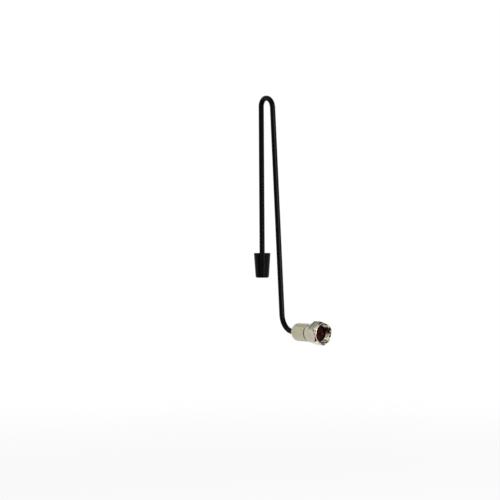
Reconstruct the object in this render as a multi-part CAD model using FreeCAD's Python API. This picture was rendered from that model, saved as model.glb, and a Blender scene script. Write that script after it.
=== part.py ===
import FreeCAD, Part
import os
from math import cos, pi, radians, sin, tan

# Whip antenna for a garage door receiver: a stiff insulated wire bent into a hairpin,
# a rubber cap on its free end and a screw-on coaxial plug at its foot.
# Millimetres. The origin is the centre of the plug's insulator face, +X points out of
# the plug's mouth, +Z is up and the wire lies in the plane Y = 0.

# Insulated wire and its bared core
wire_diameter = 2.85
core_diameter = 1.3
core_seat_depth = 3.5
straight_exit = 2.9
low_bend_radius = 9.4
long_leg_lean = 4.25
hairpin_height = 124.7
hairpin_near_radius = 6.15
hairpin_far_radius = 4.05
short_leg_lean = 0.6
short_leg_length = 89.3

# Rubber cap on the free end
cap_length = 13.4
cap_mouth_diameter = 9.0
cap_end_diameter = 7.15
cap_hole_depth = 10.0
cap_mouth_chamfer = 0.3
cap_end_rounding = 0.9

# Coupling nut, hexagonal, for a 3/8-32 thread
across_flats = 11.11
hex_turn = 18.0
nut_length = 10.8
mouth_reach = 5.1
thread_minor_diameter = 8.72
mouth_lead_in = 0.55
rim_width = 0.36
nose_length = 0.65
front_chamfer_angle = 48.0
rear_chamfer_angle = 33.0
corner_break = 0.04
collar_length = 3.6
collar_diameter = 9.6
collar_edge = 0.25

# Flanged post that carries the nut
flange_clearance = 0.21
flange_thickness = 1.2
shank_diameter = 6.0
post_bore = 3.8
nut_running_clearance = 0.08
nut_axial_play = 0.15

# Rear shell, pressed on the post
shell_gap = 0.5
shell_diameter = 9.4
shell_length = 11.55
shell_seat_depth = 8.3
shell_edge = 0.2
dome_radius = 2.55

# Insulator and centre pin
face_thickness = 0.8
spigot_length = 8.2
pin_diameter = 1.0
pin_reach = 4.2
pin_tip_length = 0.4
pin_tip_diameter = 0.5
pin_neck_diameter = 1.4
pin_neck_length = 2.0
pin_barrel_diameter = 2.3
cup_depth = 4.0

# How far cutting tools run past the faces they cut
cut_past = 1.0

# Stations along the plug axis, from the mouth back to the wire
nut_mouth = mouth_reach
nut_rear = nut_mouth - nut_length
flange_front = -face_thickness
flange_rear = flange_front - flange_thickness
lip_front = flange_rear - nut_axial_play
spigot_rear = flange_front - spigot_length
cup_bottom = spigot_rear + cup_depth
shell_front = nut_rear - shell_gap
shell_seat = shell_front - shell_seat_depth
shell_rear = shell_front - shell_length
bend_start = shell_rear - straight_exit

# Radii that several pieces share
minor_radius = thread_minor_diameter / 2
flange_radius = minor_radius - flange_clearance
shank_radius = shank_diameter / 2
bore_radius = post_bore / 2
wire_radius = wire_diameter / 2
core_radius = core_diameter / 2
neck_radius = pin_neck_diameter / 2
barrel_radius = pin_barrel_diameter / 2

plug_axis = FreeCAD.Vector(1, 0, 0)


def place(along, radius):
    # A point of a turned outline: distance along the axis and distance from it.
    return FreeCAD.Vector(along, 0, radius)


def turned(*outline):
    # Solid turned about the plug axis from a closed outline of (along, radius) pairs.
    corners = [place(along, radius) for along, radius in outline]
    face = Part.Face(Part.makePolygon(corners + corners[:1]))
    return face.revolve(FreeCAD.Vector(), plug_axis, 360)


def ring_edges(solid, along, radius):
    # The round edges of a turned solid at one place of its outline.
    circles = [edge for edge in solid.Edges if isinstance(edge.Curve, Part.Circle)]
    spot = FreeCAD.Vector(along, 0, 0)
    return [
        edge for edge in circles
        if abs(edge.Curve.Radius - radius) < 1e-6 and edge.Curve.Center.isEqual(spot, 1e-6)
    ]


def in_wire_plane(x, z):
    return FreeCAD.Vector(x, 0, z)


def wire_path(start):
    # Centre line of the wire from a station on the plug axis to the free end, with the
    # free end and its direction: a run out of the plug, the low bend, the long leg, the
    # hairpin's wider near half and tighter far half, and the short leg back down.
    lean = radians(long_leg_lean)
    back_lean = radians(short_leg_lean)
    low_centre = in_wire_plane(bend_start, low_bend_radius)
    low_turn = pi / 2 - lean

    def on_low_bend(turn):
        return low_centre + in_wire_plane(-sin(turn), -cos(turn)) * low_bend_radius

    foot = on_low_bend(low_turn)
    climb = in_wire_plane(-sin(lean), cos(lean))
    inward = in_wire_plane(-cos(lean), -sin(lean))
    near_centre_height = hairpin_height - hairpin_near_radius
    rise = near_centre_height - foot.z - hairpin_near_radius * inward.z
    shoulder = foot + climb * (rise / climb.z)
    near_centre = shoulder + inward * hairpin_near_radius
    far_centre = in_wire_plane(near_centre.x, hairpin_height - hairpin_far_radius)

    def on_near_half(turn):
        return near_centre + in_wire_plane(cos(turn), sin(turn)) * hairpin_near_radius

    def on_far_half(turn):
        return far_centre + in_wire_plane(cos(turn), sin(turn)) * hairpin_far_radius

    top = on_near_half(pi / 2)
    far_shoulder = on_far_half(pi + back_lean)
    descent = in_wire_plane(sin(back_lean), -cos(back_lean))
    free_end = far_shoulder + descent * short_leg_length
    runs = [
        Part.LineSegment(in_wire_plane(start, 0), on_low_bend(0)),
        Part.Arc(on_low_bend(0), on_low_bend(low_turn / 2), foot),
        Part.LineSegment(foot, shoulder),
        Part.Arc(shoulder, on_near_half((pi / 2 + lean) / 2), top),
        Part.Arc(top, on_far_half((pi * 3 / 2 + back_lean) / 2), far_shoulder),
        Part.LineSegment(far_shoulder, free_end),
    ]
    return Part.Wire([run.toShape() for run in runs]), free_end, descent


def antenna_wire():
    # Round wire swept along its centre line, with the seat of its bared core at the plug end.
    path, free_end, descent = wire_path(shell_seat)
    ring = Part.Circle(in_wire_plane(shell_seat, 0), plug_axis, wire_radius)
    solid = path.makePipeShell([Part.Wire([ring.toShape()])], True, False)
    print("wire length", round(path.Length, 1), "volume", round(solid.Volume, 1),
          "section times length", round(pi * wire_radius ** 2 * path.Length, 1))
    seat = Part.makeCylinder(core_radius, core_seat_depth, in_wire_plane(shell_seat, 0), -plug_axis)
    return solid.cut(seat)


def bared_core():
    # Stripped end of the conductor, from its seat in the wire to the bottom of the pin's cup.
    core_rear = shell_seat - core_seat_depth
    return Part.makeCylinder(core_radius, cup_bottom - core_rear, in_wire_plane(core_rear, 0), plug_axis)


def end_cap():
    # Tapered plug with a blind hole, turned from its mouth along +X, then set on the wire.
    mouth_radius = cap_mouth_diameter / 2
    end_radius = cap_end_diameter / 2
    solid = turned(
        (0, wire_radius),
        (0, mouth_radius - cap_mouth_chamfer),
        (cap_mouth_chamfer, mouth_radius),
        (cap_length, end_radius),
        (cap_length, 0),
        (cap_hole_depth, 0),
        (cap_hole_depth, wire_radius),
    )
    solid = solid.makeFillet(cap_end_rounding, ring_edges(solid, cap_length, end_radius))
    path, free_end, descent = wire_path(shell_seat)
    mouth = free_end - descent * cap_hole_depth
    solid.Placement = FreeCAD.Placement(mouth, FreeCAD.Rotation(plug_axis, descent))
    return solid


def hex_bar(start, length):
    # Hexagonal bar along the plug axis, with one corner hex_turn above the -Y side.
    corner_radius = across_flats / 2 / cos(pi / 6)
    turns = [radians(hex_turn) + corner * pi / 3 for corner in range(6)]
    corners = [
        FreeCAD.Vector(start, -corner_radius * cos(turn), corner_radius * sin(turn))
        for turn in turns
    ]
    face = Part.Face(Part.makePolygon(corners + corners[:1]))
    return face.extrude(plug_axis * length)


def coupling_nut():
    # The hexagon is turned down to a round collar at the rear and a short nose at the mouth.
    widest = across_flats / 2 / cos(pi / 6) - corner_break
    collar_radius = collar_diameter / 2
    collar_front = nut_rear + collar_length
    nose_rear = nut_mouth - nose_length
    rim_radius = minor_radius + mouth_lead_in + rim_width
    rear_chamfer = (widest - collar_radius) * tan(radians(rear_chamfer_angle))
    front_chamfer = (widest - rim_radius) * tan(radians(front_chamfer_angle))
    envelope = turned(
        (nut_rear, 0),
        (nut_rear, collar_radius - collar_edge),
        (nut_rear + collar_edge, collar_radius),
        (collar_front, collar_radius),
        (collar_front + rear_chamfer, widest),
        (nose_rear - front_chamfer, widest),
        (nose_rear, rim_radius),
        (nut_mouth, rim_radius),
        (nut_mouth, 0),
    )
    # Threaded bore from the mouth, then the lip that runs on the post behind its flange.
    lip_radius = shank_radius + nut_running_clearance
    bore = turned(
        (nut_rear - cut_past, 0),
        (nut_rear - cut_past, lip_radius),
        (lip_front, lip_radius),
        (lip_front, minor_radius),
        (nut_mouth - mouth_lead_in, minor_radius),
        (nut_mouth + cut_past, minor_radius + mouth_lead_in + cut_past),
        (nut_mouth + cut_past, 0),
    )
    return hex_bar(nut_rear, nut_length).common(envelope).cut(bore)


def flanged_post():
    return turned(
        (flange_front, bore_radius),
        (flange_front, flange_radius),
        (flange_rear, flange_radius),
        (flange_rear, shank_radius),
        (shell_seat, shank_radius),
        (shell_seat, bore_radius),
    )


def rear_shell():
    # Sleeve seated on the post's end, with a domed rear that grips the wire.
    shell_radius = shell_diameter / 2
    solid = turned(
        (shell_front, shank_radius),
        (shell_front, shell_radius - shell_edge),
        (shell_front - shell_edge, shell_radius),
        (shell_rear, shell_radius),
        (shell_rear, wire_radius),
        (shell_seat, wire_radius),
        (shell_seat, shank_radius),
    )
    return solid.makeFillet(dome_radius, ring_edges(solid, shell_rear, shell_radius))


def insulator():
    # Disc over the flange, with a spigot in the post's bore that holds the pin.
    return turned(
        (0, neck_radius),
        (0, flange_radius),
        (flange_front, flange_radius),
        (flange_front, bore_radius),
        (spigot_rear, bore_radius),
        (spigot_rear, barrel_radius),
        (-pin_neck_length, barrel_radius),
        (-pin_neck_length, neck_radius),
    )


def centre_pin():
    # Contact pin, its neck and barrel in the insulator, and the cup that takes the core.
    pin_radius = pin_diameter / 2
    return turned(
        (pin_reach, 0),
        (pin_reach, pin_tip_diameter / 2),
        (pin_reach - pin_tip_length, pin_radius),
        (0, pin_radius),
        (0, neck_radius),
        (-pin_neck_length, neck_radius),
        (-pin_neck_length, barrel_radius),
        (spigot_rear, barrel_radius),
        (spigot_rear, core_radius),
        (cup_bottom, core_radius),
        (cup_bottom, 0),
    )


pieces = {
    "antenna_wire": antenna_wire,
    "bared_core": bared_core,
    "end_cap": end_cap,
    "coupling_nut": coupling_nut,
    "flanged_post": flanged_post,
    "rear_shell": rear_shell,
    "insulator": insulator,
    "centre_pin": centre_pin,
}

os.makedirs("parts", exist_ok=True)
for name, make in pieces.items():
    shape = make()
    print(name, "valid", shape.isValid(), "solids", len(shape.Solids), "volume", round(shape.Volume, 2))
    shape.exportStep("parts/" + name + ".step")
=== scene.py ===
import math

import bmesh
import bpy
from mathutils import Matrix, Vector


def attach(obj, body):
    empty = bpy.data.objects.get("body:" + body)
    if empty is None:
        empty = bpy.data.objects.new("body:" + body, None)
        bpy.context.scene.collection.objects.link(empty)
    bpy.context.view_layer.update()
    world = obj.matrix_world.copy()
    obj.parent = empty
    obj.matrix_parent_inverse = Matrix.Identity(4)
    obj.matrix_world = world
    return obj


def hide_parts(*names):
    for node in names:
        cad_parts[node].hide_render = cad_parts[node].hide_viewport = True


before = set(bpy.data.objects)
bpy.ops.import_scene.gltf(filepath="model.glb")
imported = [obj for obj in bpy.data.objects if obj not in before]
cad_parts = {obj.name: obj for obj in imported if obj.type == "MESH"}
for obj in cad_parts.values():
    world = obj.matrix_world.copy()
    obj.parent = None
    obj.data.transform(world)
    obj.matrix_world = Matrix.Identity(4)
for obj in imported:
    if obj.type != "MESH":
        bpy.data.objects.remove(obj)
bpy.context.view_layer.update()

mm = 0.001              # the pieces' sizes are in millimetres and degrees, the scene is in metres
tiny = 1e-7             # merge and cut distance, a ten-thousandth of a millimetre
nearEnough = 0.002      # how far a picked corner may lie from its ring, in millimetres
smoothAngle = 30.0      # edges that turn more than this stay sharp, in degrees
plugCentre = Vector((0, 0, 0))
plugAxis = Vector((1, 0, 0))
print("frame loaded:", ", ".join(sorted(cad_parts)))


# Bench tools: rings pulled along a line, picked edges, finishing

def takeUp(piece):
    # makes it the one selected and active object
    bpy.ops.object.select_all(action="DESELECT")
    piece.select_set(True)
    bpy.context.view_layer.objects.active = piece


def startRing(name, centre, heading, radius, corners):
    bpy.ops.object.select_all(action="DESELECT")
    bpy.ops.mesh.primitive_circle_add(
        vertices=corners, radius=radius * mm, location=centre * mm,
        rotation=heading.to_track_quat("Z", "Y").to_euler())
    piece = bpy.context.object
    piece.name = piece.data.name = name
    bpy.ops.object.transform_apply(location=True, rotation=True, scale=True)
    bpy.ops.object.mode_set(mode="EDIT")
    bpy.ops.mesh.select_mode(type="VERT")
    bpy.ops.mesh.select_all(action="SELECT")
    return piece


def pullRing(step, growth=1, centre=plugCentre):
    # step is a vector in millimetres, growth scales the new ring about its centre
    bpy.ops.mesh.extrude_region_move(TRANSFORM_OT_translate={"value": step * mm})
    if growth != 1:
        bpy.ops.transform.resize(value=(growth, growth, growth), center_override=centre * mm)


def turnPiece(name, origin, heading, outline, corners):
    # outline is a list of (distance along heading, radius) pairs, ring after ring
    along, radius = outline[0]
    piece = startRing(name, origin + heading * along, heading, radius, corners)
    for nextAlong, nextRadius in outline[1:]:
        pullRing(heading * (nextAlong - along), nextRadius / radius, origin + heading * nextAlong)
        along, radius = nextAlong, nextRadius
    return piece


def pickEdges(wanted):
    # picks the edges with both ends wanted, each end given in millimetres
    bpy.ops.mesh.select_mode(type="EDGE")
    bpy.ops.mesh.select_all(action="DESELECT")
    mesh = bmesh.from_edit_mesh(bpy.context.object.data)
    for edge in mesh.edges:
        if all(wanted(corner.co / mm) for corner in edge.verts):
            edge.select = True
    mesh.select_flush_mode()
    bmesh.update_edit_mesh(bpy.context.object.data)


def roundRing(origin, heading, along, radius, rounding, steps):
    def onRing(point):
        arm = point - origin
        reach = arm.dot(heading)
        width = (arm - heading * reach).length
        return abs(reach - along) < nearEnough and abs(width - radius) < nearEnough
    pickEdges(onRing)
    bpy.ops.mesh.bevel(offset=rounding * mm, segments=steps, profile=0.5, affect="EDGES")


def pickOpenRings():
    bpy.ops.mesh.select_mode(type="EDGE")
    bpy.ops.mesh.select_all(action="DESELECT")
    bpy.ops.mesh.select_non_manifold()


def closeLoop():
    # joins the first and last ring of a hollow piece
    pickOpenRings()
    bpy.ops.mesh.bridge_edge_loops()


def closeEnds():
    # a flat face on each open ring
    pickOpenRings()
    bpy.ops.mesh.fill_holes(sides=0)


def squareUp():
    bpy.ops.mesh.select_all(action="SELECT")
    bpy.ops.mesh.remove_doubles(threshold=tiny)
    bpy.ops.mesh.normals_make_consistent(inside=False)


def finishPiece(piece, finish, body, node):
    bpy.ops.object.mode_set(mode="OBJECT")
    takeUp(piece)
    bpy.ops.object.shade_smooth_by_angle(angle=math.radians(smoothAngle))
    bpy.ops.object.modifier_add(type="WEIGHTED_NORMAL")
    piece.modifiers[-1].keep_sharp = True
    bpy.ops.object.modifier_apply(modifier=piece.modifiers[-1].name)
    piece.data.materials.clear()
    piece.data.materials.append(finish)
    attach(piece, body)
    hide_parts(node)
    print("made", piece.name, len(piece.data.polygons), "faces")


# Finishes: tone, polish and relief, each from a grain on the piece's own coordinates
# a grain is its stretch along each axis, its scale and its detail, relief is in millimetres

evenly = (1, 1, 1)
grainSpan = (0.3, 0.7)      # noise values where the first and the second tone or polish are reached

turnedNickelLook = {        # nickel over brass, satin, tool lines round the axis
    "metallic": 1.0, "tones": ((0.44, 0.41, 0.29), (0.5, 0.47, 0.35)),
    "toneGrain": (evenly, 420, 4),
    "polish": (0.36, 0.46), "polishGrain": (evenly, 260, 3),
    "relief": 0.004, "reliefStrength": 0.35, "reliefGrain": ((9000, 60, 60), 1, 2),
}
drawnNickelLook = {         # brighter, lines along the bar
    "metallic": 1.0, "tones": ((0.45, 0.42, 0.33), (0.53, 0.5, 0.4)),
    "toneGrain": (evenly, 420, 4),
    "polish": (0.13, 0.2), "polishGrain": (evenly, 260, 3),
    "relief": 0.004, "reliefStrength": 0.35, "reliefGrain": ((300, 5000, 5000), 1, 2),
}
wireVinylLook = {           # extruded satin black vinyl: faint long unevenness, small scuffs
    "specular": 0.05, "tones": ((0.0006, 0.0006, 0.0008), (0.0016, 0.0016, 0.0019)),
    "toneGrain": ((1, 1, 0.2), 900, 3),
    "polish": (0.22, 0.29), "polishGrain": ((1, 1, 0.12), 900, 3),
    "relief": 0.01, "reliefStrength": 0.2, "reliefGrain": ((1, 1, 0.3), 260, 2),
}
capRubberLook = {           # moulded rubber: fine matte grain with a little bloom
    "specular": 0.06, "tones": ((0.0006, 0.0006, 0.0008), (0.0018, 0.0018, 0.0021)),
    "toneGrain": (evenly, 600, 4),
    "polish": (0.25, 0.33), "polishGrain": (evenly, 1500, 3),
    "relief": 0.01, "reliefStrength": 0.2, "reliefGrain": (evenly, 9000, 2),
}
insulatorPlasticLook = {    # moulded dark maroon plastic, evenly dull; its tone is lowered further as painted shade for its place deep in the nut's bore
    "specular": 0.02, "tones": ((0.015, 0.0025, 0.0026), (0.026, 0.0048, 0.0048)),
    "toneGrain": (evenly, 900, 3), "evenPolish": 0.45,
    "relief": 0.01, "reliefStrength": 0.2, "reliefGrain": (evenly, 6000, 2),
}
dullCopperLook = {          # bare copper, dull; its dark tone is painted shade for the pin deep in the nut's mouth, no relief
    "metallic": 1.0, "tones": ((0.05, 0.018, 0.012), (0.12, 0.05, 0.032)),
    "toneGrain": (evenly, 1800, 4),
    "polish": (0.5, 0.65), "polishGrain": (evenly, 900, 2),
}


def addNode(tree, kind, **settings):
    node = tree.nodes.new(kind)
    for key, value in settings.items():
        if key in node.inputs:
            node.inputs[key].default_value = value
        else:
            setattr(node, key, value)
    return node


def addGrain(tree, stretch, scale, detail):
    place = addNode(tree, "ShaderNodeTexCoord")
    spread = addNode(tree, "ShaderNodeMapping", Scale=stretch)
    noise = addNode(tree, "ShaderNodeTexNoise", Scale=scale, Detail=detail)
    tree.links.new(place.outputs["Object"], spread.inputs["Vector"])
    tree.links.new(spread.outputs["Vector"], noise.inputs["Vector"])
    return noise.outputs["Fac"]


def toneBetween(tree, factor, tones):
    ramp = addNode(tree, "ShaderNodeValToRGB")
    for stop, place, tone in zip(ramp.color_ramp.elements, grainSpan, tones):
        stop.position, stop.color = place, (*tone, 1)
    tree.links.new(factor, ramp.inputs["Fac"])
    return ramp.outputs["Color"]


def valueBetween(tree, factor, span, ends, curve="LINEAR"):
    # goes from one end to the other while the factor crosses the span
    spread = addNode(tree, "ShaderNodeMapRange", interpolation_type=curve)
    spread.inputs["From Min"].default_value, spread.inputs["From Max"].default_value = span
    spread.inputs["To Min"].default_value, spread.inputs["To Max"].default_value = ends
    tree.links.new(factor, spread.inputs["Value"])
    return spread.outputs["Result"]


def makeFinish(name, look):
    finish = bpy.data.materials.new(name)
    finish.use_nodes = True
    tree = finish.node_tree
    shader = tree.nodes["Principled BSDF"]
    plainSockets = {"Metallic": "metallic", "Specular IOR Level": "specular", "Roughness": "evenPolish"}
    for socket, key in plainSockets.items():
        if key in look:
            shader.inputs[socket].default_value = look[key]
    tone = toneBetween(tree, addGrain(tree, *look["toneGrain"]), look["tones"])
    tree.links.new(tone, shader.inputs["Base Color"])
    if "polishGrain" in look:
        polish = valueBetween(tree, addGrain(tree, *look["polishGrain"]), grainSpan, look["polish"])
        tree.links.new(polish, shader.inputs["Roughness"])
    if "reliefGrain" in look:
        bump = addNode(tree, "ShaderNodeBump", Strength=look["reliefStrength"],
                       Distance=look["relief"] * mm)
        tree.links.new(addGrain(tree, *look["reliefGrain"]), bump.inputs["Height"])
        tree.links.new(bump.outputs["Normal"], shader.inputs["Normal"])
    return finish


turnedNickel = makeFinish("turnedNickel", turnedNickelLook)
drawnNickel = makeFinish("drawnNickel", drawnNickelLook)
wireVinyl = makeFinish("wireVinyl", wireVinylLook)
capRubber = makeFinish("capRubber", capRubberLook)
insulatorPlastic = makeFinish("insulatorPlastic", insulatorPlasticLook)
dullCopper = makeFinish("dullCopper", dullCopperLook)
print("finishes ready")


# Stiff wire: out of the plug, low bend, long leg, hairpin, short leg

wireSizes = {
    "radius": 1.425, "corners": 40,
    "coreRadius": 0.65, "coreBottom": -18.0, "seat": -14.5, "bendStart": -20.65,
    "lowBend": 9.4, "lowSteps": 28, "lean": 4.25,
    "hairpinHeight": 124.7, "nearBend": 6.15, "farBend": 4.05, "hairpinSteps": 24, "backLean": 0.6,
    "shortLeg": 89.3, "legParts": 12,
}


def bendRing(centre, degrees, steps):
    # sweeps the open ring in the wire's plane, plus is from straight out to up
    bpy.ops.mesh.spin(steps=steps, angle=math.radians(degrees), center=centre * mm, axis=(0, -1, 0))


def pullLeg(heading, length, parts):
    for part in range(parts):
        pullRing(heading * (length / parts))


def legDirection(lean, up):
    tilt = math.radians(lean)
    return Vector((-math.sin(tilt), 0, math.cos(tilt))) * (1 if up else -1)


def makeWire(sizes):
    piece = turnPiece("wire_run", plugCentre, plugAxis, [
        (sizes["coreBottom"], sizes["coreRadius"]), (sizes["seat"], sizes["coreRadius"]),
        (sizes["seat"], sizes["radius"]), (sizes["bendStart"], sizes["radius"])], sizes["corners"])
    lowCentre = Vector((sizes["bendStart"], 0, sizes["lowBend"]))
    bendRing(lowCentre, 90 - sizes["lean"], sizes["lowSteps"])
    climb = legDirection(sizes["lean"], True)
    across = Vector((-climb.z, 0, climb.x))     # square to the long leg, towards the short one
    foot = lowCentre + across * sizes["lowBend"]
    nearHeight = sizes["hairpinHeight"] - sizes["nearBend"]
    rise = (nearHeight - foot.z - sizes["nearBend"] * across.z) / climb.z
    pullLeg(climb, rise, sizes["legParts"])
    nearCentre = foot + climb * rise + across * sizes["nearBend"]
    farCentre = Vector((nearCentre.x, 0, sizes["hairpinHeight"] - sizes["farBend"]))
    bendRing(nearCentre, sizes["lean"] - 90, sizes["hairpinSteps"])
    bendRing(farCentre, -90 - sizes["backLean"], sizes["hairpinSteps"])
    descent = legDirection(sizes["backLean"], False)
    pullLeg(descent, sizes["shortLeg"], sizes["legParts"])
    farShoulder = farCentre + Vector((descent.z, 0, -descent.x)) * sizes["farBend"]
    closeEnds()
    squareUp()
    finishPiece(piece, wireVinyl, "plug", "antenna_wire")
    return farShoulder + descent * sizes["shortLeg"], descent


freeEnd, descent = makeWire(wireSizes)
print("wire's free end", [round(value, 2) for value in freeEnd])


# Rubber cap on the free end

capSizes = {
    "length": 13.4, "mouthRadius": 4.5, "endRadius": 3.575, "holeDepth": 10.0, "holeRadius": 1.425,
    "mouthRounding": 0.3, "mouthSteps": 4, "endRounding": 0.9, "endSteps": 8, "corners": 72,
}


def makeCap(sizes, freeEnd, descent):
    mouth = freeEnd - descent * sizes["holeDepth"]
    piece = turnPiece("rubber_cap", mouth, descent, [
        (sizes["holeDepth"], sizes["holeRadius"]), (0, sizes["holeRadius"]),
        (0, sizes["mouthRadius"]), (sizes["length"], sizes["endRadius"])], sizes["corners"])
    closeEnds()
    squareUp()
    roundRing(mouth, descent, 0, sizes["mouthRadius"], sizes["mouthRounding"], sizes["mouthSteps"])
    roundRing(mouth, descent, sizes["length"], sizes["endRadius"], sizes["endRounding"], sizes["endSteps"])
    finishPiece(piece, capRubber, "plug", "end_cap")


makeCap(capSizes, freeEnd, descent)


# Coupling nut: turned blank, milled flats, broken edges, tapped thread

nutSizes = {
    "mouth": 5.1, "rear": -5.7, "corners": 180,
    "leadIn": 0.79, "leadInDepth": 1.25, "minorRadius": 4.36, "rim": 0.12,
    "noseLength": 0.65, "noseFillet": 0.12, "noseSteps": 4, "widest": 6.375,
    "frontChamfer": 48.0, "rearChamfer": 33.0,
    "collarRadius": 4.8, "collarLength": 3.6, "collarEdge": 0.6, "collarSteps": 6,
    "lipRadius": 3.08, "lipFront": -2.15,
    "flats": 6, "acrossFlats": 11.11, "hexTurn": 18.0,
    "edgeBreak": 0.06, "edgeSteps": 2, "edgeAngle": 20.0,
}
threadSizes = {
    "pitch": 0.79375, "majorRadius": 4.7625, "baseRadius": 4.2, "tipWidth": 0.1,
    "flankAngle": 30.0, "start": 1.0, "turns": 7, "steps": 90, "sliver": 0.002,
}


def makeTap(sizes):
    # helical cutter of one thread groove
    depth = sizes["majorRadius"] - sizes["baseRadius"]
    baseWidth = sizes["tipWidth"] + 2 * depth * math.tan(math.radians(sizes["flankAngle"]))
    middle = Vector((sizes["start"], 0, (sizes["majorRadius"] + sizes["baseRadius"]) / 2))
    bpy.ops.object.select_all(action="DESELECT")
    bpy.ops.mesh.primitive_plane_add(size=depth * mm, location=middle * mm, rotation=(math.pi / 2, 0, 0))
    tap = bpy.context.object
    bpy.ops.object.transform_apply(location=True, rotation=True, scale=True)
    bpy.ops.object.mode_set(mode="EDIT")
    for radius, width in ((sizes["majorRadius"], sizes["tipWidth"]), (sizes["baseRadius"], baseWidth)):
        pickEdges(lambda point: abs(point.z - radius) < nearEnough)
        bpy.ops.transform.resize(value=(width / depth, 1, 1), center_override=middle * mm)
    bpy.ops.mesh.select_all(action="SELECT")
    bpy.ops.mesh.delete(type="ONLY_FACE")
    bpy.ops.object.mode_set(mode="OBJECT")
    bpy.ops.object.modifier_add(type="SCREW")
    screw = tap.modifiers[-1]
    screw.axis, screw.screw_offset, screw.iterations = "X", sizes["pitch"] * mm, sizes["turns"]
    screw.steps = screw.render_steps = sizes["steps"]
    bpy.ops.object.modifier_apply(modifier=screw.name)
    bpy.ops.object.mode_set(mode="EDIT")
    closeEnds()
    squareUp()
    bpy.ops.object.mode_set(mode="OBJECT")
    return tap


def millFlats(sizes):
    # each flat is cut off by its plane and closed again
    for flat in range(sizes["flats"]):
        turn = math.radians(sizes["hexTurn"] + (flat + 0.5) * 360 / sizes["flats"])
        outward = Vector((0, -math.cos(turn), math.sin(turn)))
        bpy.ops.mesh.select_all(action="SELECT")
        bpy.ops.mesh.bisect(plane_co=outward * sizes["acrossFlats"] / 2 * mm, plane_no=outward,
                            use_fill=True, clear_outer=True, threshold=tiny)


def breakEdges(piece, sizes):
    bpy.ops.object.mode_set(mode="OBJECT")
    bpy.ops.object.modifier_add(type="BEVEL")
    broken = piece.modifiers[-1]
    broken.width, broken.segments = sizes["edgeBreak"] * mm, sizes["edgeSteps"]
    broken.limit_method, broken.angle_limit = "ANGLE", math.radians(sizes["edgeAngle"])
    bpy.ops.object.modifier_apply(modifier=broken.name)


def cutThread(piece, sizes):
    tap = makeTap(sizes)
    takeUp(piece)
    bpy.ops.object.modifier_add(type="BOOLEAN")
    tapped = piece.modifiers[-1]
    tapped.operation, tapped.solver, tapped.object = "DIFFERENCE", "EXACT", tap
    bpy.ops.object.modifier_apply(modifier=tapped.name)
    bpy.data.objects.remove(tap)
    bpy.ops.object.mode_set(mode="EDIT")        # slivers along the cut are closed up
    bpy.ops.mesh.select_all(action="SELECT")
    bpy.ops.mesh.remove_doubles(threshold=sizes["sliver"] * mm)
    bpy.ops.mesh.dissolve_degenerate(threshold=sizes["sliver"] * mm)
    closeEnds()         # a face that went with a sliver is put back
    squareUp()


def makeNut(sizes):
    mouth, rear, minorRadius = sizes["mouth"], sizes["rear"], sizes["minorRadius"]
    widest, collarRadius = sizes["widest"], sizes["collarRadius"]
    rimRadius = minorRadius + sizes["leadIn"] + sizes["rim"]
    collarFront = rear + sizes["collarLength"]
    noseRear = mouth - sizes["noseLength"]
    frontReach = (widest - rimRadius) * math.tan(math.radians(sizes["frontChamfer"]))
    rearReach = (widest - collarRadius) * math.tan(math.radians(sizes["rearChamfer"]))
    piece = turnPiece("hex_nut", plugCentre, plugAxis, [
        (mouth, minorRadius + sizes["leadIn"]), (mouth, rimRadius), (noseRear, rimRadius),
        (noseRear - frontReach, widest), (collarFront + rearReach, widest),
        (collarFront, collarRadius), (rear, collarRadius), (rear, sizes["lipRadius"]),
        (sizes["lipFront"], sizes["lipRadius"]), (sizes["lipFront"], minorRadius),
        (mouth - sizes["leadInDepth"], minorRadius)], sizes["corners"])
    closeLoop()
    squareUp()
    roundRing(plugCentre, plugAxis, noseRear, rimRadius, sizes["noseFillet"], sizes["noseSteps"])
    millFlats(sizes)
    squareUp()
    roundRing(plugCentre, plugAxis, rear, collarRadius, sizes["collarEdge"], sizes["collarSteps"])
    breakEdges(piece, sizes)
    cutThread(piece, threadSizes)
    finishPiece(piece, drawnNickel, "nut", "coupling_nut")


makeNut(nutSizes)


# Rear shell with its domed end

shellSizes = {
    "front": -6.2, "rear": -17.75, "radius": 4.7, "corners": 144,
    "edge": 0.2, "edgeSteps": 3, "dome": 2.55, "domeSteps": 16,
    "seat": -14.5, "shankRadius": 3.0, "holeRadius": 1.425, "holeRounding": 0.2, "holeSteps": 3,
}


def makeShell(sizes):
    front, rear = sizes["front"], sizes["rear"]
    piece = turnPiece("turned_shell", plugCentre, plugAxis, [
        (front, sizes["shankRadius"]), (front, sizes["radius"]),
        (rear, sizes["radius"]), (rear, sizes["holeRadius"]),
        (sizes["seat"], sizes["holeRadius"]), (sizes["seat"], sizes["shankRadius"])], sizes["corners"])
    closeLoop()
    squareUp()
    roundRing(plugCentre, plugAxis, rear, sizes["radius"], sizes["dome"], sizes["domeSteps"])
    roundRing(plugCentre, plugAxis, front, sizes["radius"], sizes["edge"], sizes["edgeSteps"])
    roundRing(plugCentre, plugAxis, rear, sizes["holeRadius"], sizes["holeRounding"], sizes["holeSteps"])
    finishPiece(piece, turnedNickel, "plug", "rear_shell")


makeShell(shellSizes)


# Insulator: disc with a spigot behind it

insulatorSizes = {
    "face": 0.0, "thickness": 0.8, "radius": 4.15, "edge": 0.2, "edgeSteps": 4, "spigotRadius": 1.9,
    "spigotRear": -9.0, "barrelRadius": 1.15, "neckRadius": 0.7, "neckRear": -2.0, "corners": 96,
}


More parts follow.
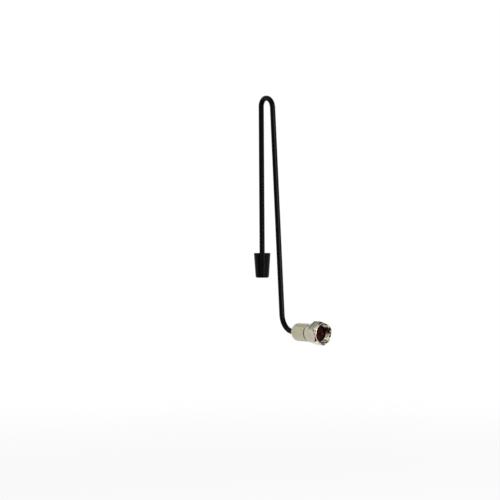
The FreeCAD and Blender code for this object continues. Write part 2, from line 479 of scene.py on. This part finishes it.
def makeInsulator(sizes):
    face, back = sizes["face"], sizes["face"] - sizes["thickness"]
    piece = turnPiece("plug_insulator", plugCentre, plugAxis, [
        (face, sizes["neckRadius"]), (face, sizes["radius"]),
        (back, sizes["radius"]), (back, sizes["spigotRadius"]),
        (sizes["spigotRear"], sizes["spigotRadius"]), (sizes["spigotRear"], sizes["barrelRadius"]),
        (sizes["neckRear"], sizes["barrelRadius"]), (sizes["neckRear"], sizes["neckRadius"])],
        sizes["corners"])
    closeLoop()
    squareUp()
    roundRing(plugCentre, plugAxis, face, sizes["radius"], sizes["edge"], sizes["edgeSteps"])
    finishPiece(piece, insulatorPlastic, "plug", "insulator")


makeInsulator(insulatorSizes)


# Centre pin with its solder cup

pinSizes = {
    "tip": 4.2, "tipLength": 0.4, "tipRadius": 0.25, "tipRounding": 0.12, "tipSteps": 3,
    "radius": 0.5, "shoulder": 0.0, "neckRadius": 0.7, "neckRear": -2.0,
    "barrelRadius": 1.15, "rear": -9.0, "cupRadius": 0.65, "cupBottom": -5.0, "corners": 40,
}


def makePin(sizes):
    tip, tipRadius = sizes["tip"], sizes["tipRadius"]
    piece = turnPiece("contact_pin", plugCentre, plugAxis, [
        (tip, tipRadius), (tip - sizes["tipLength"], sizes["radius"]),
        (sizes["shoulder"], sizes["radius"]), (sizes["shoulder"], sizes["neckRadius"]),
        (sizes["neckRear"], sizes["neckRadius"]), (sizes["neckRear"], sizes["barrelRadius"]),
        (sizes["rear"], sizes["barrelRadius"]), (sizes["rear"], sizes["cupRadius"]),
        (sizes["cupBottom"], sizes["cupRadius"])], sizes["corners"])
    closeEnds()
    squareUp()
    roundRing(plugCentre, plugAxis, tip, tipRadius, sizes["tipRounding"], sizes["tipSteps"])
    finishPiece(piece, dullCopper, "plug", "centre_pin")


makePin(pinSizes)

# The hidden post and core keep their solids and only get a finish
for node, finish in (("flanged_post", turnedNickel), ("bared_core", dullCopper)):
    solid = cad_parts[node]
    solid.data.materials.clear()
    solid.data.materials.append(finish)
print("plug done")


# Studio: pale floor, white surround, flags and cards, soft lamps, camera

plainWhite = (1, 1, 1, 1)
studioSizes = {     # places and lengths in metres
    "surround": 1.0, "ambient": 0.6, "subject": (-0.02, 0, 0.03),
    "floorHeight": -0.1, "floorSize": 8.0, "floorTone": (0.9, 0.9, 0.9, 1), "floorGlow": 1.0,
    "liftSpan": (0.15, 0.7), "lift": (0.8, 1.0),    # metres from the middle, share of glow there
    "cardSegments": 48, "cardRings": 24,
}
lamps = {   # place in metres, watts, width and height in metres
    "keyLamp": ((0.475, -0.45, 0.553), 1.6, 0.55, 0.5),
    "stripLamp": ((0.75, 0.03, 0.12), 6.0, 0.28, 0.5),
}
flags = {   # caps of a sphere that only reflections see
    # its radius in metres, the side kept, where it is cut as a share of the radius, brightness
    "frontFlag": (1.3, (0.773, -0.634, 0), 0.5, 0.02),
    "topFlag": (1.35, (0.08, 0.42, 0.9), 0.86, 0.08),
    "lowFlag": (1.25, (-0.1, 0.7, -0.7), 0.9, 0.15),
    "wedgeFlag": (1.25, (0.47, -0.62, -0.63), 0.89, 0.02),
    "tipCard": (1.2, (0.28, -0.1, -0.95), 0.975, 1.9),
    "frontCard": (1.2, (0.531, -0.775, -0.33), 0.966, 1.0),
    "sideCard": (1.15, (0.56, -0.8, 0.11), 0.975, 1.8),
    "threadCard": (1.1, (0.9, -0.22, 0.27), 0.93, 1.5),
    "rimCard": (1.05, (0.774, 0.633, -0.05), 0.975, 1.7),
}
cameraSizes = {     # places and clipping in metres, lens and sensor in millimetres
    "place": (0.545399, -0.44272, 0.037781), "aim": (-0.058683, 0.0, 0.042993),
    "lens": 98.6, "sensor": 36, "clipStart": 0.01, "clipEnd": 50,
}


def seenRays(tree):
    # 1 for rays from the camera, a reflection or glass, 0 for the light itself
    path = addNode(tree, "ShaderNodeLightPath")
    either = addNode(tree, "ShaderNodeMath", operation="MAXIMUM")
    anyOf = addNode(tree, "ShaderNodeMath", operation="MAXIMUM")
    tree.links.new(path.outputs["Is Camera Ray"], either.inputs[0])
    tree.links.new(path.outputs["Is Glossy Ray"], either.inputs[1])
    tree.links.new(either.outputs[0], anyOf.inputs[0])
    tree.links.new(path.outputs["Is Transmission Ray"], anyOf.inputs[1])
    return anyOf.outputs[0]


def mixShaders(tree, share, first, second, outputKind):
    blend = addNode(tree, "ShaderNodeMixShader")
    output = addNode(tree, outputKind)
    tree.links.new(share, blend.inputs["Fac"])
    tree.links.new(first.outputs[0], blend.inputs[1])
    tree.links.new(second.outputs[0], blend.inputs[2])
    tree.links.new(blend.outputs[0], output.inputs["Surface"])


def emptyMaterial(name):
    material = bpy.data.materials.new(name)
    material.use_nodes = True
    material.node_tree.nodes.clear()
    return material


def makeSurround(sizes):
    world = bpy.context.scene.world or bpy.data.worlds.new("studio")
    bpy.context.scene.world = world
    world.use_nodes = True
    tree = world.node_tree
    tree.nodes.clear()
    light = addNode(tree, "ShaderNodeBackground", Color=plainWhite, Strength=sizes["ambient"])
    seen = addNode(tree, "ShaderNodeBackground", Color=plainWhite, Strength=sizes["surround"])
    mixShaders(tree, seenRays(tree), light, seen, "ShaderNodeOutputWorld")


def makeFloor(sizes):
    bpy.ops.object.select_all(action="DESELECT")
    bpy.ops.mesh.primitive_plane_add(size=sizes["floorSize"], location=(0, 0, sizes["floorHeight"]))
    floor = bpy.context.object
    floor.name = "studio_floor"
    pale = emptyMaterial("paleFloor")
    tree = pale.node_tree
    paint = addNode(tree, "ShaderNodeBsdfDiffuse", Color=sizes["floorTone"])
    glow = addNode(tree, "ShaderNodeEmission", Color=plainWhite, Strength=sizes["floorGlow"])
    place = addNode(tree, "ShaderNodeTexCoord")
    reach = addNode(tree, "ShaderNodeVectorMath", operation="LENGTH")
    tree.links.new(place.outputs["Object"], reach.inputs[0])
    lift = valueBetween(tree, reach.outputs["Value"], sizes["liftSpan"], sizes["lift"], "SMOOTHSTEP")
    share = addNode(tree, "ShaderNodeMath", operation="MULTIPLY")
    tree.links.new(seenRays(tree), share.inputs[0])
    tree.links.new(lift, share.inputs[1])
    mixShaders(tree, share.outputs[0], paint, glow, "ShaderNodeOutputMaterial")
    floor.data.materials.append(pale)
    floor.visible_glossy = False        # reflections see the white surround there


def makeFlags(sizes):
    for name, (radius, side, cut, brightness) in flags.items():
        bpy.ops.object.select_all(action="DESELECT")
        bpy.ops.mesh.primitive_uv_sphere_add(
            segments=sizes["cardSegments"], ring_count=sizes["cardRings"], radius=radius)
        card = bpy.context.object
        card.name = name
        keep = Vector(side).normalized()
        bpy.ops.object.mode_set(mode="EDIT")
        bpy.ops.mesh.select_all(action="SELECT")
        bpy.ops.mesh.bisect(plane_co=keep * radius * cut, plane_no=keep, clear_inner=True)
        bpy.ops.object.mode_set(mode="OBJECT")
        cloth = emptyMaterial(name + "Cloth")
        cloth.cycles.emission_sampling = "NONE"     # found by reflected rays alone
        tree = cloth.node_tree
        glow = addNode(tree, "ShaderNodeEmission", Color=plainWhite, Strength=brightness)
        output = addNode(tree, "ShaderNodeOutputMaterial")
        tree.links.new(glow.outputs[0], output.inputs["Surface"])
        card.data.materials.append(cloth)
        card.visible_camera = card.visible_diffuse = False
        card.visible_shadow = card.visible_transmission = False


def makeLamps(subject):
    for name, (place, watts, width, height) in lamps.items():
        bpy.ops.object.light_add(type="AREA", location=place)
        lamp = bpy.context.object
        lamp.name = name
        lamp.data.energy, lamp.data.shape = watts, "RECTANGLE"
        lamp.data.size, lamp.data.size_y = width, height
        lamp.rotation_euler = (subject - lamp.location).to_track_quat("-Z", "Y").to_euler()


def makeCamera(sizes):
    bpy.ops.object.camera_add(location=sizes["place"])
    camera = bpy.context.object
    camera.rotation_mode = "QUATERNION"
    camera.rotation_quaternion = (Vector(sizes["aim"]) - camera.location).to_track_quat("-Z", "Y")
    camera.data.lens, camera.data.sensor_width = sizes["lens"], sizes["sensor"]
    camera.data.clip_start, camera.data.clip_end = sizes["clipStart"], sizes["clipEnd"]
    bpy.context.scene.camera = camera


makeSurround(studioSizes)
makeFloor(studioSizes)
makeFlags(studioSizes)
makeLamps(Vector(studioSizes["subject"]))
makeCamera(cameraSizes)
bpy.context.scene.view_settings.view_transform = "Standard"
print("studio ready")
